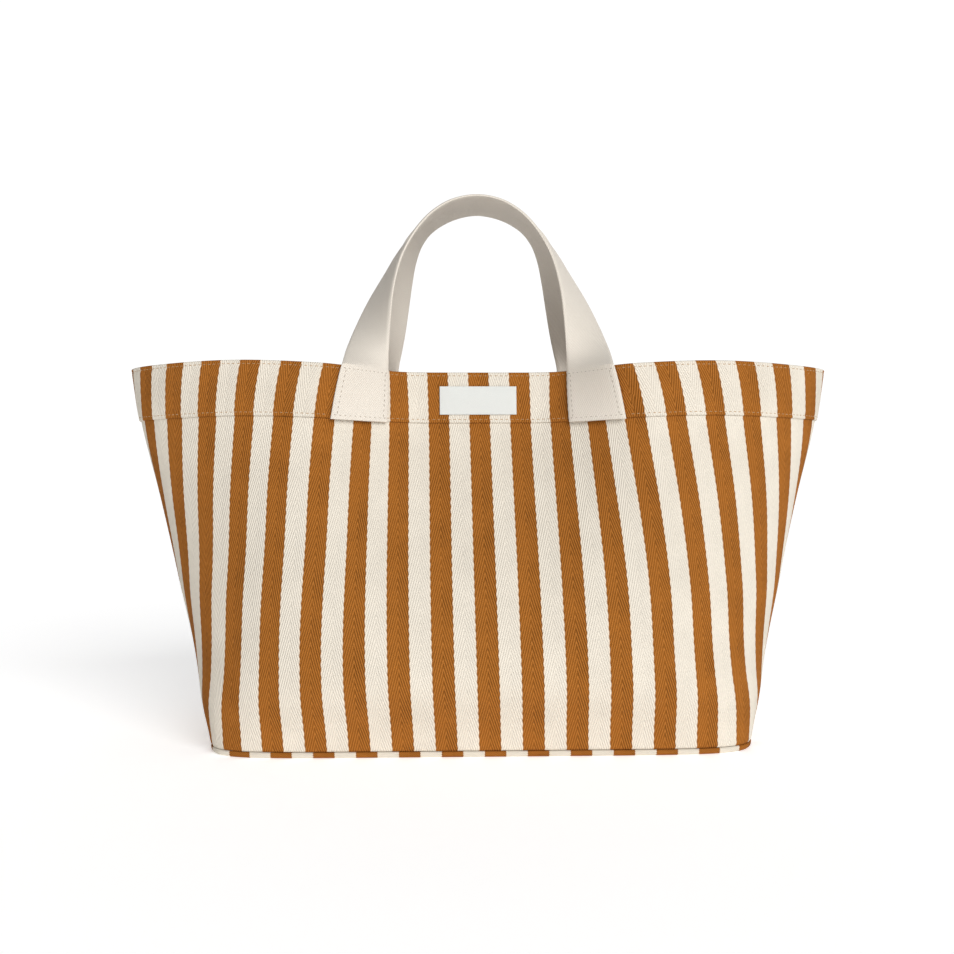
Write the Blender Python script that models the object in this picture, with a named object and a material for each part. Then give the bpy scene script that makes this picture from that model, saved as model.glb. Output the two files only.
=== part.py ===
"""Striped canvas tote bag with two short strap handles, as an assembly of its sewn pieces.

Metres, +Z up. The bag stands on z = 0, its front faces -Y, and the origin is under the middle of the base.
Every cross-section of the body is a superellipse, flattened at the base and pulled in at the mouth between
the handles' feet. The pieces are layers on that body: panels, then the band, then the feet and the label.
"""

import math

import bmesh
import bpy
from mathutils import Vector

# Body
BODY_HEIGHT = 0.2583
BASE_WIDTH = 0.361
BASE_DEPTH = 0.202
BELLY_DEPTH = 0.247
MOUTH_WIDTH = 0.492
MOUTH_DEPTH = 0.168
MOUTH_PINCH = 0.0405  # how far the middle of the mouth is pulled in on each side
RIM_DIP = 0.006  # how much lower the rim is in the middle than beside the handles
END_DIP = 0.002  # how much lower the rim is at its two ends
DIP_START = 0.030  # from the middle to where the rim starts to rise
DIP_END = 0.165  # from the middle to where the rim is highest

# Cloth
CLOTH = 0.0012
SEWN_GAP = 0.0003  # clearance between two layers that are sewn together
STRAP_GAP = 0.0005  # clearance under the straps and the label, stiffer than the cloth they lie on
SEAM_WIDTH = 0.012
SEAM_THICKNESS = 0.0016
BINDING_HEIGHT = 0.009

# Base
LIP_HEIGHT = 0.0040  # how far the base panel's edge rolls up
LIP_RADIUS = 0.0028
LIP_WALL = 0.0014

# Band round the mouth
BAND_HEIGHT = 0.0365
BAND_RETURN = 0.012  # how far the band turns down inside the mouth
FOLD_RADIUS = 0.0006

# Label
LABEL_WIDTH = 0.0525
LABEL_HEIGHT = 0.0202
LABEL_THICKNESS = 0.0008
LABEL_DROP = 0.0103  # from the rim to the label's top edge

# Handles
STRAP_WIDTH = 0.038
STRAP_THICKNESS = 0.0026
FOOT_CENTRE = 0.0775  # from the middle of the bag to the middle of a foot, at the rim
FOOT_FLARE = 0.0035  # how much further out a foot's lower end is
FOOT_OVERHANG = 0.0006  # how far a foot reaches below the band
FRONT_RISE = 0.1185  # from the rim to the top of the loop
BACK_RISE = 0.121
HINGE_LIFT = 0.002  # height of the hinge line above the rim
HANDLE_GAP = 0.0006  # between the two loops where they meet

# Pinch: the width over which the mouth steps in, at the rim and lower down
PINCH_MARGIN = 0.016
PINCH_SPREAD = 0.060

# Height share, then how much of the mouth's extra width is reached, then how the depth is made up of the
# belly's and the mouth's (the base's takes the rest), the squareness, and the shares of pinch and spread.
SECTIONS = (
    (0.00, 0.00, 0.00, 0.00, 8.0, 0.00, 1.0),
    (0.07, 0.07, 0.24, 0.00, 6.4, 0.00, 1.0),
    (0.20, 0.23, 1.00, 0.00, 3.5, 0.00, 1.0),
    (0.43, 0.50, 0.92, 0.08, 2.45, 0.30, 1.0),
    (0.65, 0.73, 0.41, 0.59, 2.15, 0.60, 0.85),
    (0.85, 0.94, -0.08, 1.08, 2.05, 0.84, 0.55),
    (1.00, 1.00, 0.00, 1.00, 2.60, 1.00, 0.00),
)

# Shares along half of each loop, from the rim to the top. For the edge that starts nearer the middle of the bag
# and then for the other edge: the share of the rise, of the foot's half span, and of the way in to the other
# loop. The last row lies past the top and only keeps the top round.
FRONT_LOOP = (
    (0.000, 1.000, 0.00, 0.000, 1.000, 0.000),
    (0.085, 0.998, 0.06, 0.080, 1.000, 0.280),
    (0.180, 0.988, 0.14, 0.165, 0.985, 0.520),
    (0.290, 0.974, 0.26, 0.270, 0.948, 0.710),
    (0.440, 0.945, 0.44, 0.420, 0.865, 0.860),
    (0.600, 0.880, 0.75, 0.590, 0.735, 0.940),
    (0.715, 0.790, 0.90, 0.705, 0.645, 0.975),
    (0.820, 0.660, 0.96, 0.810, 0.540, 0.995),
    (0.910, 0.490, 0.99, 0.905, 0.410, 1.000),
    (0.975, 0.270, 1.00, 0.975, 0.220, 1.000),
    (1.000, 0.000, 1.00, 1.000, 0.000, 1.000),
    (0.975, -0.270, 1.00, 0.975, -0.220, 1.000),
)
BACK_LOOP = (
    (0.000, 1.000, 0.00, 0.000, 1.000, 0.000),
    (0.085, 0.980, 0.06, 0.080, 0.980, 0.280),
    (0.180, 0.940, 0.14, 0.165, 0.945, 0.520),
    (0.290, 0.895, 0.26, 0.270, 0.895, 0.700),
    (0.440, 0.845, 0.44, 0.420, 0.815, 0.840),
    (0.600, 0.793, 0.75, 0.590, 0.710, 0.930),
    (0.715, 0.745, 0.90, 0.705, 0.632, 0.975),
    (0.820, 0.665, 0.96, 0.815, 0.540, 0.995),
    (0.905, 0.525, 0.99, 0.900, 0.415, 1.000),
    (0.972, 0.285, 1.00, 0.972, 0.220, 1.000),
    (1.000, 0.000, 1.00, 1.000, 0.000, 1.000),
    (0.972, -0.285, 1.00, 0.972, -0.220, 1.000),
)

FRONT = -1
BACK = 1
OUTLINE_STEPS = 400  # points worked out along a quarter of a cross-section
SECTION_STEPS = 160  # evenly spaced points read from them
FOOT_COLUMNS = 8
LABEL_ROWS = 4
# Columns of faces from the middle to one side: the share of the way reached, and how many lie before it.
# They are narrow where the cloth bends: at the handles' feet, the base's corners and the mouth's ends.
COLUMN_ZONES = ((0.13, 3), (0.45, 14), (0.58, 2), (0.76, 8), (0.93, 3), (1.00, 4))
# Heights of the body's rows of faces between the binding and the band, as shares of the body's height.
ROW_SHARES = (0.12, 0.21, 0.35, 0.51, 0.67)
LOOP_STEPS = 4  # rings between two rows of a loop

BAND_OUTSIDE = SEWN_GAP + CLOTH
BAND_INSIDE = CLOTH + SEWN_GAP + CLOTH
PANEL_BOTTOM = LIP_HEIGHT + SEWN_GAP
BINDING_BOTTOM = LIP_HEIGHT + LIP_WALL
BINDING_TOP = BINDING_BOTTOM + BINDING_HEIGHT
BAND_DROPS = (BAND_HEIGHT, (BAND_HEIGHT + BAND_RETURN) / 2, BAND_RETURN)  # rows of faces, from the rim down


def clear_scene():
    for item in list(bpy.data.objects):
        bpy.data.objects.remove(item, do_unlink=True)


def smoothstep(start, end, value):
    share = min(max((value - start) / (end - start), 0.0), 1.0)
    return share * share * (3.0 - 2.0 * share)


def through_rows(rows, position, row_of=None):
    """Smooth values at a position along rows; row_of gives the column that holds each row's own position."""
    keys = [row[row_of] for row in rows] if row_of is not None else list(range(len(rows)))
    last = len(rows) - 1
    index = 0
    while index < last - 1 and position > keys[index + 1]:
        index += 1
    width = keys[index + 1] - keys[index]
    share = (position - keys[index]) / width
    values = []
    for column in range(len(rows[0])):
        slopes = []
        for at in (index, index + 1):
            low, high = max(at - 1, 0), min(at + 1, last)
            slopes.append((rows[high][column] - rows[low][column]) / (keys[high] - keys[low]) * width)
        start, end = rows[index][column], rows[index + 1][column]
        cube, square = share**3, share**2
        values.append(
            (2 * cube - 3 * square + 1) * start
            + (cube - 2 * square + share) * slopes[0]
            + (3 * square - 2 * cube) * end
            + (cube - square) * slopes[1]
        )
    return values


def outline_points(height):
    """Points from the middle of the front to the right side at one height, as (x, depth)."""
    share = min(max(height / BODY_HEIGHT, 0.0), 1.0)
    _, widen, belly, mouth, square, pinch, spread = through_rows(SECTIONS, share, row_of=0)
    half_width = (BASE_WIDTH + (MOUTH_WIDTH - BASE_WIDTH) * widen) / 2
    half_depth = (BASE_DEPTH * (1 - belly - mouth) + BELLY_DEPTH * belly + MOUTH_DEPTH * mouth) / 2
    ramp = (STRAP_WIDTH + PINCH_MARGIN + PINCH_SPREAD * spread) / 2
    points = []
    for step in range(OUTLINE_STEPS + 1):
        angle = math.pi / 2 * step / OUTLINE_STEPS
        x = half_width * math.sin(angle) ** (2 / square)
        depth = half_depth * max(math.cos(angle), 0.0) ** (2 / square)
        pull = 1 - smoothstep(FOOT_CENTRE - ramp, FOOT_CENTRE + ramp, x)
        points.append((x, depth * (1 - MOUTH_PINCH * pinch * pull / half_depth)))
    return points


def even_points(points, steps):
    """The same outline as evenly spaced points, with the spacing."""
    lengths = [0.0]
    for before, after in zip(points, points[1:]):
        lengths.append(lengths[-1] + math.hypot(after[0] - before[0], after[1] - before[1]))
    spacing = lengths[-1] / steps
    even = []
    index = 1
    for step in range(steps + 1):
        while index < len(points) - 1 and lengths[index] < step * spacing:
            index += 1
        before, after = points[index - 1], points[index]
        share = (step * spacing - lengths[index - 1]) / (lengths[index] - lengths[index - 1])
        even.append(tuple(low + (high - low) * share for low, high in zip(before, after)))
    return even, spacing


def outward(points, index):
    """Outward direction at one of the evenly spaced points; it is square to the bag's axes at both ends."""
    if index == 0:
        return 0.0, 1.0
    if index == len(points) - 1:
        return 1.0, 0.0
    before, after = points[index - 1], points[index + 1]
    run = math.hypot(after[0] - before[0], after[1] - before[1])
    return (before[1] - after[1]) / run, (after[0] - before[0]) / run


QUARTERS = {}


def quarter(height):
    """Evenly spaced points of a quarter section, their outward directions and their spacing."""
    key = round(height, 7)
    if key not in QUARTERS:
        points, spacing = even_points(outline_points(height), SECTION_STEPS)
        QUARTERS[key] = (points, [outward(points, index) for index in range(len(points))], spacing)
    return QUARTERS[key]


def side_length(height):
    """Length of the section from the middle of the front to the side."""
    points, _, spacing = quarter(height)
    return spacing * (len(points) - 1)


def length_at(x, height):
    """Length along the section from the middle to a given x."""
    points, _, spacing = quarter(height)
    index = 1
    while index < len(points) - 1 and points[index][0] < x:
        index += 1
    before, after = points[index - 1], points[index]
    return spacing * (index - 1 + (x - before[0]) / (after[0] - before[0]))


def rim_drop(x, height):
    """How far the cloth hangs lower than its nominal height, strongest at the rim."""
    middle = RIM_DIP * (1 - smoothstep(DIP_START, DIP_END, abs(x)))
    end = END_DIP * smoothstep(DIP_END, MOUTH_WIDTH / 2, abs(x))
    return (middle + end) * (height / BODY_HEIGHT) ** 2


def body_point(length, height, offset, side):
    """A point on the body: length from the middle (minus is left), outward offset, FRONT or BACK."""
    points, directions, spacing = quarter(height)
    reach = min(abs(length) / spacing, len(points) - 1)
    index = min(int(reach), len(points) - 2)
    share = reach - index
    x, depth = (low + (high - low) * share for low, high in zip(points[index], points[index + 1]))
    out_x, out_depth = (low + (high - low) * share for low, high in zip(directions[index], directions[index + 1]))
    lowered = height - rim_drop(x, height)
    x += out_x * offset
    depth += out_depth * offset
    return Vector((math.copysign(x, length), side * (depth + SEWN_GAP / 2), lowered))


def finished_object(name, mesh_builder, material):
    bmesh.ops.recalc_face_normals(mesh_builder, faces=mesh_builder.faces)
    mesh = bpy.data.meshes.new(name)
    mesh_builder.to_mesh(mesh)
    mesh_builder.free()
    mesh.shade_smooth()
    mesh.set_sharp_from_angle(angle=math.radians(40))
    mesh.materials.append(material)
    made = bpy.data.objects.new(name, mesh)
    bpy.context.collection.objects.link(made)
    return made


def fabric(name, colour, roughness):
    material = bpy.data.materials.new(name)
    material.use_nodes = True
    shader = material.node_tree.nodes["Principled BSDF"]
    shader.inputs["Base Color"].default_value = (*colour, 1.0)
    shader.inputs["Roughness"].default_value = roughness
    shader.inputs["Metallic"].default_value = 0.0
    material.diffuse_color = (*colour, 1.0)
    return material


def split_quad(builder, near, near_next, far_next, far):
    """Two triangles, split the same way on every layer: from the near lower corner to the far upper one."""
    if near_next.co.z >= near.co.z:
        builder.faces.new((near, near_next, far_next))
        builder.faces.new((near, far_next, far))
    else:
        builder.faces.new((near, near_next, far))
        builder.faces.new((near_next, far_next, far))


def ringed(name, rings, material, closed=False):
    """A solid skinned over equal rings of points, capped at its ends unless it closes on itself."""
    builder = bmesh.new()
    rows = [[builder.verts.new(point) for point in ring] for ring in rings]
    size = len(rows[0])
    pairs = list(zip(rows, rows[1:]))
    if closed:
        pairs.append((rows[-1], rows[0]))
    for first, second in pairs:
        for corner in range(size):
            following = (corner + 1) % size
            split_quad(builder, first[corner], first[following], second[following], second[corner])
    if not closed:
        builder.faces.new(rows[0])
        builder.faces.new(rows[-1])
    return finished_object(name, builder, material)


def layer(name, outer, inner, material):
    """A closed sheet between two equal grids of points."""
    builder = bmesh.new()
    rows, columns = len(outer), len(outer[0])
    skins = [[[builder.verts.new(point) for point in row] for row in grid] for grid in (outer, inner)]
    for skin in skins:
        for row in range(rows - 1):
            for column in range(columns - 1):
                near, near_next = skin[row][column], skin[row + 1][column]
                far, far_next = skin[row][column + 1], skin[row + 1][column + 1]
                split_quad(builder, near, near_next, far_next, far)
    border = [(0, column) for column in range(columns)]
    border += [(row, columns - 1) for row in range(1, rows)]
    border += [(rows - 1, column) for column in range(columns - 2, -1, -1)]
    border += [(row, 0) for row in range(rows - 2, 0, -1)]
    for place, (row, column) in enumerate(border):
        next_row, next_column = border[(place + 1) % len(border)]
        builder.faces.new(
            (
                skins[0][row][column],
                skins[0][next_row][next_column],
                skins[1][next_row][next_column],
                skins[1][row][column],
            )
        )
    return finished_object(name, builder, material)


def spaced(start, end, steps):
    return [start + (end - start) * step / steps for step in range(steps + 1)]


def column_shares():
    """Where the columns of faces lie, as shares of the way from the middle to a side, minus for left."""
    right = [0.0]
    for reached, columns in COLUMN_ZONES:
        right += spaced(right[-1], reached, columns)[1:]
    return [-share for share in right[:0:-1]] + right


def row_heights():
    """Heights of the body's rows of faces, from the base seam up into the band's fold."""
    below = [PANEL_BOTTOM, BINDING_BOTTOM, BINDING_TOP] + [BODY_HEIGHT * share for share in ROW_SHARES]
    return below + [BODY_HEIGHT - drop for drop in (*BAND_DROPS, CLOTH + SEWN_GAP)]


def body_panel(name, side, material):
    """The front or back cloth, from the base seam up into the band's fold, side seam to side seam."""
    grids = []
    for offset in (0.0, -CLOTH):
        grid = []
        for height in row_heights():
            reach = side_length(height)
            grid.append([body_point(share * reach, height, offset, side) for share in column_shares()])
        grids.append(grid)
    return layer(name, grids[0], grids[1], material)


def band(name, side, material):
    """Half of the band: it covers the top of the panel outside, folds over it and turns down inside."""
    outline = [(BAND_OUTSIDE, drop) for drop in BAND_DROPS]
    outline += [
        (BAND_OUTSIDE, FOLD_RADIUS),
        (BAND_OUTSIDE - FOLD_RADIUS, 0.0),
        (FOLD_RADIUS - BAND_INSIDE, 0.0),
        (-BAND_INSIDE, FOLD_RADIUS),
        (-BAND_INSIDE, BAND_RETURN),
        (-CLOTH - SEWN_GAP, BAND_RETURN),
        (-CLOTH - SEWN_GAP, CLOTH),
        (SEWN_GAP, CLOTH),
    ]
    outline += [(SEWN_GAP, drop) for drop in reversed(BAND_DROPS)]
    rings = []
    for share in column_shares():
        ring = []
        for offset, drop in outline:
            height = BODY_HEIGHT - drop
            ring.append(body_point(share * side_length(height), height, offset, side))
        rings.append(ring)
    return ringed(name, rings, material)


def around(height, offset):
    """Points right round the body at one height, anticlockwise seen from above, starting at the left side."""
    reach = side_length(height)
    front = [body_point(share * reach, height, offset, FRONT) for share in column_shares()]
    back = [body_point(-share * reach, height, offset, BACK) for share in column_shares()]
    return front[:-1] + back[:-1]


def base_panel(material):
    """Flat bottom whose edge rolls up into a low lip under the base seam."""
    outline = (
        (-LIP_RADIUS, 0.0),
        (-0.3 * LIP_RADIUS, 0.3 * LIP_RADIUS),
        (0.0, LIP_RADIUS),
        (0.0, LIP_HEIGHT),
        (-LIP_WALL, LIP_HEIGHT),
        (-LIP_WALL, LIP_WALL + 0.4 * LIP_RADIUS),
        (-LIP_WALL - 0.4 * LIP_RADIUS, LIP_WALL),
    )
    rings = []
    for offset, height in outline:
        ring = around(LIP_HEIGHT, offset)
        rings.append([Vector((point.x, point.y, height)) for point in ring])
    return ringed("base_panel", rings, material)


def base_binding(material):
    """Bound seam allowance standing inside the bag, right round above the base."""
    offsets = (-CLOTH - SEWN_GAP, -CLOTH - SEWN_GAP - SEAM_THICKNESS)
    heights = (BINDING_BOTTOM, BINDING_TOP)
    corners = (
        (offsets[0], heights[0]),
        (offsets[0], heights[1]),
        (offsets[1], heights[1]),
        (offsets[1], heights[0]),
    )
    walls = [around(height, offset) for offset, height in corners]
    rings = [list(ring) for ring in zip(*walls)]
    return ringed("base_seam_binding", rings, material, closed=True)


def side_seam(name, direction, material):
    """Bound seam allowance lying flat on the inside of one side."""
    bottom = BINDING_TOP + SEWN_GAP
    top = BODY_HEIGHT - BAND_RETURN - SEWN_GAP
    heights = [bottom] + [height for height in row_heights() if bottom < height < top] + [top]
    near = -CLOTH - SEWN_GAP
    grids = []
    for offset in (near, near - SEAM_THICKNESS):
        grid = []
        for height in heights:
            reach = side_length(height)
            row = []
            for across in spaced(-SEAM_WIDTH / 2, SEAM_WIDTH / 2, 4):
                side = FRONT if across < 0 else BACK
                point = body_point(direction * (reach - abs(across)), height, offset, side)
                if across == 0:
                    point.y = 0.0
                row.append(point)
            grid.append(row)
        grids.append(grid)
    return layer(name, grids[0], grids[1], material)


def foot_length(across, height):
    """Where along the body a foot's cloth lies: across is measured from the foot's middle line."""
    below = (BODY_HEIGHT - height) / BAND_HEIGHT
    return length_at(FOOT_CENTRE + FOOT_FLARE * below, height) + across


def foot(name, direction, side, material):
    """A strap's end, lying on the band from just below its lower edge up to the rim."""
    near = BAND_OUTSIDE + STRAP_GAP
    drops = (BAND_HEIGHT + FOOT_OVERHANG, *BAND_DROPS, FOLD_RADIUS, 0.0)
    grids = []
    for offset in (near + STRAP_THICKNESS, near):
        grid = []
        for height in [BODY_HEIGHT - drop for drop in drops]:
            edges = spaced(-STRAP_WIDTH / 2, STRAP_WIDTH / 2, FOOT_COLUMNS)
            reaches = [foot_length(across, height) for across in edges]
            grid.append([body_point(direction * reach, height, offset, side) for reach in reaches])
        grids.append(grid)
    return layer(name, grids[0], grids[1], material)


def label(material):
    """Small woven label on the middle of the front band."""
    near = BAND_OUTSIDE + STRAP_GAP
    top = BODY_HEIGHT - LABEL_DROP
    grids = []
    for offset in (near + LABEL_THICKNESS, near):
        grid = []
        for height in spaced(top - LABEL_HEIGHT, top, LABEL_ROWS):
            reaches = spaced(-LABEL_WIDTH / 2, LABEL_WIDTH / 2, 6)
            grid.append([body_point(reach, height, offset, FRONT) for reach in reaches])
        grids.append(grid)
    return layer("woven_label", grids[0], grids[1], material)


def foot_corner(edge, side):
    """Middle of the strap's thickness at the rim, at its inner (-1) or outer (1) edge, on the right."""
    middle = BAND_OUTSIDE + STRAP_GAP + STRAP_THICKNESS / 2
    return body_point(foot_length(edge * STRAP_WIDTH / 2, BODY_HEIGHT), BODY_HEIGHT, middle, side)


def hinge_line(side):
    """Height and depth of the line that a handle swings about, just clear in front of its feet."""
    corner = foot_corner(1, side)
    return side * (abs(corner.y) + STRAP_THICKNESS), BODY_HEIGHT + HINGE_LIFT


def loop_edges(shares, position, side, rise):
    """The strap's two edges at a position along the rows of shares, on the right half of the loop."""
    values = through_rows(shares, position)
    inner, outer = foot_corner(-1, side), foot_corner(1, side)
    meeting = side * HANDLE_GAP / 2
    goals = (meeting + side * STRAP_WIDTH, meeting)
    edges = []
    for corner, goal, (up, span, lean) in zip((inner, outer), goals, (values[:3], values[3:])):
        height = corner.z + (BODY_HEIGHT + rise - STRAP_THICKNESS / 2 - corner.z) * up
        edges.append(Vector((corner.x * span, corner.y + (goal - corner.y) * lean, height)))
    return edges


def handle(name, side, rise, shares, material):
    """A strap loop: it leaves its feet flat on the band and turns on edge towards the other loop."""
    hinge_y, hinge_z = hinge_line(side)
    bottom = hinge_z + HANDLE_GAP
    top = len(shares) - 2
    positions = spaced(0.0, top, top * LOOP_STEPS)
    half = [loop_edges(shares, position, side, rise) for position in positions]
    half = [pair for pair in half if min(point.z for point in pair) > bottom]
    mirrored = [[Vector((-point.x, point.y, point.z)) for point in pair] for pair in half]
    pairs = mirrored + half[-2::-1]
    rings = []
    for index, (inner, outer) in enumerate(pairs):
        before, after = pairs[max(index - 1, 0)], pairs[min(index + 1, len(pairs) - 1)]
        along = (after[0] + after[1] - before[0] - before[1]).normalized()
        face = along.cross(outer - inner).normalized() * (STRAP_THICKNESS / 2)
        rings.append([inner + face, outer + face, outer - face, inner - face])
    made = ringed(name, rings, material)
    for vertex in made.data.vertices:
        vertex.co -= Vector((0.0, hinge_y, hinge_z))
    made.location = (0.0, hinge_y, hinge_z)
    return made


def build_bag():
    clear_scene()
    stripes = fabric("striped_canvas", (0.56, 0.36, 0.20), 0.9)
    stripes_back = fabric("striped_canvas_back", (0.56, 0.36, 0.20), 0.9)
    stripes_base = fabric("striped_canvas_base", (0.54, 0.34, 0.19), 0.9)
    facing = fabric("striped_facing", (0.58, 0.38, 0.22), 0.9)
    facing_back = fabric("striped_facing_back", (0.58, 0.38, 0.22), 0.9)
    body_panel("front_panel", FRONT, stripes)
    body_panel("back_panel", BACK, stripes_back)
    base_panel(stripes_base)
    band("front_band", FRONT, facing)
    band("back_band", BACK, facing_back)
    tape = (0.70, 0.66, 0.58)
    side_seam("left_side_seam", -1, fabric("left_seam_tape", tape, 0.95))
    side_seam("right_side_seam", 1, fabric("right_seam_tape", tape, 0.95))
    base_binding(fabric("base_seam_tape", tape, 0.95))
    label(fabric("label_weave", (0.86, 0.86, 0.82), 0.8))
    twill = (0.82, 0.76, 0.67)
    loops = (("front", FRONT, FRONT_RISE, FRONT_LOOP), ("back", BACK, BACK_RISE, BACK_LOOP))
    for word, side, rise, shares in loops:
        for hand, direction in (("left", -1), ("right", 1)):
            name = f"{word}_handle_foot_{hand}"
            foot(name, direction, side, fabric(name + "_twill", twill, 0.88))
        handle(f"{word}_handle", side, rise, shares, fabric(f"{word}_handle_twill", twill, 0.88))


if __name__ == "__main__":
    build_bag()
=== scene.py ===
"""Looks of the striped canvas tote bag, built round its packed model.

Metres, +Z up, front towards -Y, as in the packed model. The script is laid out as an add-on: each group of
pieces has its settings and an operator, and main() runs them in order. The cloth pieces are layers on one
lofted body, whose cross-sections are those of the packed model.
"""

import math

import bmesh
import bpy
from bpy.props import FloatProperty, FloatVectorProperty, PointerProperty
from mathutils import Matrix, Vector, noise


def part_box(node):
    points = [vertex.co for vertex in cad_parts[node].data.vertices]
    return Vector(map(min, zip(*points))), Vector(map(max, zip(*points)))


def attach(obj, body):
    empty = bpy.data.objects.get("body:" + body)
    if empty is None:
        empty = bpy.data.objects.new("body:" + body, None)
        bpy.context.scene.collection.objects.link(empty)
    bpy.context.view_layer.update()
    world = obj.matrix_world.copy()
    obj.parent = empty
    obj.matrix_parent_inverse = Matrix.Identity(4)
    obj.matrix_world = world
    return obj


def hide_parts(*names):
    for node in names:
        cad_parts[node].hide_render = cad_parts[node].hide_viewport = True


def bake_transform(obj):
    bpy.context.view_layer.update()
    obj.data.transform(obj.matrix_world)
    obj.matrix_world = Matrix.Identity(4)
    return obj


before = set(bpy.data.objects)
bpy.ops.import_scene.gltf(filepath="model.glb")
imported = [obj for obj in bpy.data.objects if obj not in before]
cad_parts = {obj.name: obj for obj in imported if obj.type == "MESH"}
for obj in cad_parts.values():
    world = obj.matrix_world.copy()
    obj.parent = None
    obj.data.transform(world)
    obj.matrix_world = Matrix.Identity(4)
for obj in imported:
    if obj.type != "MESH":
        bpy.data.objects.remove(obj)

bl_info = {
    "name": "Canvas tote bag looks",
    "version": (1, 0, 0),
    "blender": (4, 5, 0),
    "location": "View3D > Sidebar > Tote",
    "description": "Cloth, straps, label, stitching and stage for a striped canvas tote bag",
    "category": "Object",
}

FRONT = -1
BACK = 1
LEFT = -1
RIGHT = 1

# Body, as in the packed model
BODY_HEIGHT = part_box("front_band")[1].z
BASE_WIDTH = 0.361
BASE_DEPTH = 0.202
BELLY_DEPTH = 0.247
MOUTH_WIDTH = 0.492
MOUTH_DEPTH = 0.168
MOUTH_PINCH = 0.0405
RIM_DIP = 0.006
END_DIP = 0.002
DIP_START = 0.030
DIP_END = 0.165
CLOTH = 0.0012
SEWN_GAP = 0.0003
STRAP_GAP = 0.0005
SEAM_WIDTH = 0.012
SEAM_THICKNESS = 0.0016
BINDING_HEIGHT = 0.009
LIP_HEIGHT = 0.0040
LIP_RADIUS = 0.0028
LIP_WALL = 0.0014
BAND_HEIGHT = 0.0365
BAND_RETURN = 0.012
LABEL_WIDTH = 0.0525
LABEL_HEIGHT = 0.0202
LABEL_THICKNESS = 0.0008
LABEL_DROP = 0.0103

# Handles, as in the packed model
STRAP_WIDTH = 0.038
STRAP_THICKNESS = 0.0026
FOOT_CENTRE = 0.0775
FOOT_FLARE = 0.0035
FOOT_OVERHANG = 0.0006
HANDLE_GAP = 0.0006
PINCH_MARGIN = 0.016
PINCH_SPREAD = 0.060

# Height share, share of the mouth's extra width, shares of the belly's and the mouth's depth, squareness,
# and the shares of pinch and spread.
SECTIONS = (
    (0.00, 0.00, 0.00, 0.00, 8.0, 0.00, 1.0),
    (0.07, 0.07, 0.24, 0.00, 6.4, 0.00, 1.0),
    (0.20, 0.23, 1.00, 0.00, 3.5, 0.00, 1.0),
    (0.43, 0.50, 0.92, 0.08, 2.45, 0.30, 1.0),
    (0.65, 0.73, 0.41, 0.59, 2.15, 0.60, 0.85),
    (0.85, 0.94, -0.08, 1.08, 2.05, 0.84, 0.55),
    (1.00, 1.00, 0.00, 1.00, 2.60, 1.00, 0.00),
)

# Along half of each loop, for the edge nearer the middle of the bag and then the other: the shares of the
# rise, of the foot's half span, and of the way in to the other loop. The last row only keeps the top round.
FRONT_LOOP = (
    (0.000, 1.000, 0.00, 0.000, 1.000, 0.000),
    (0.085, 0.998, 0.06, 0.080, 1.000, 0.280),
    (0.180, 0.988, 0.14, 0.165, 0.985, 0.520),
    (0.290, 0.974, 0.26, 0.270, 0.948, 0.710),
    (0.440, 0.945, 0.44, 0.420, 0.865, 0.860),
    (0.600, 0.880, 0.75, 0.590, 0.735, 0.940),
    (0.715, 0.790, 0.90, 0.705, 0.645, 0.975),
    (0.820, 0.660, 0.96, 0.810, 0.540, 0.995),
    (0.910, 0.490, 0.99, 0.905, 0.410, 1.000),
    (0.975, 0.270, 1.00, 0.975, 0.220, 1.000),
    (1.000, 0.000, 1.00, 1.000, 0.000, 1.000),
    (0.975, -0.270, 1.00, 0.975, -0.220, 1.000),
)
BACK_LOOP = (
    (0.000, 1.000, 0.00, 0.000, 1.000, 0.000),
    (0.085, 0.980, 0.06, 0.080, 0.980, 0.280),
    (0.180, 0.940, 0.14, 0.165, 0.945, 0.520),
    (0.290, 0.895, 0.26, 0.270, 0.895, 0.700),
    (0.440, 0.845, 0.44, 0.420, 0.815, 0.840),
    (0.600, 0.793, 0.75, 0.590, 0.710, 0.930),
    (0.715, 0.745, 0.90, 0.705, 0.632, 0.975),
    (0.820, 0.665, 0.96, 0.815, 0.540, 0.995),
    (0.905, 0.525, 0.99, 0.900, 0.415, 1.000),
    (0.972, 0.285, 1.00, 0.972, 0.220, 1.000),
    (1.000, 0.000, 1.00, 1.000, 0.000, 1.000),
    (0.972, -0.285, 1.00, 0.972, -0.220, 1.000),
)

OUTLINE_STEPS = 400
SECTION_STEPS = 160
BAND_OUTSIDE = SEWN_GAP + CLOTH
BAND_INSIDE = CLOTH + SEWN_GAP + CLOTH
STRAP_NEAR = BAND_OUTSIDE + STRAP_GAP
PANEL_BOTTOM = LIP_HEIGHT + SEWN_GAP

# Fineness of the meshes
CLOTH_STEP = 0.0035
BAND_STEP = 0.0010
FOLD_STEPS = 8
STRAP_STEP = 0.0025
STRAP_COLUMNS = 26
END_COLUMNS = (0.0040, 0.0022, 0.0012, 0.0006, 0.0)

# Softness of the cloth
RIPPLE = 0.0011
RIPPLE_SIZE = 0.085
SEAM_TUCK = 0.0009
SEAM_TUCK_REACH = 0.0024
RIM_TILT = 0.010  # how much lower the rim is to the right, for each metre across
STRIPE_DRIFT = 0.0036  # how much closer to the middle the stripes lie outside the handles' feet
ROW_SINK = 0.00030  # how deep a row of stitches pulls the cloth in
ROW_SINK_REACH = 0.0010

# Details of the weave
# Painted shade in the grooves of the light stripes
GROOVE_SHADE_GREY = (0.47, 0.45, 0.40, 1.0)
FRINGE_TAN = (0.860, 0.640, 0.440, 1.0)
FADED = (0.62, 0.60, 0.58, 1.0)
YARN_WIDTH = 0.0009
YARN_LENGTH = 0.0016

# Rows of stitches
RIM_ROW = 0.0026  # below the rim
BAND_ROW = BAND_HEIGHT - 0.0025  # below the rim
FOOT_ROW = 0.0028  # in from a foot's edges


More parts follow.
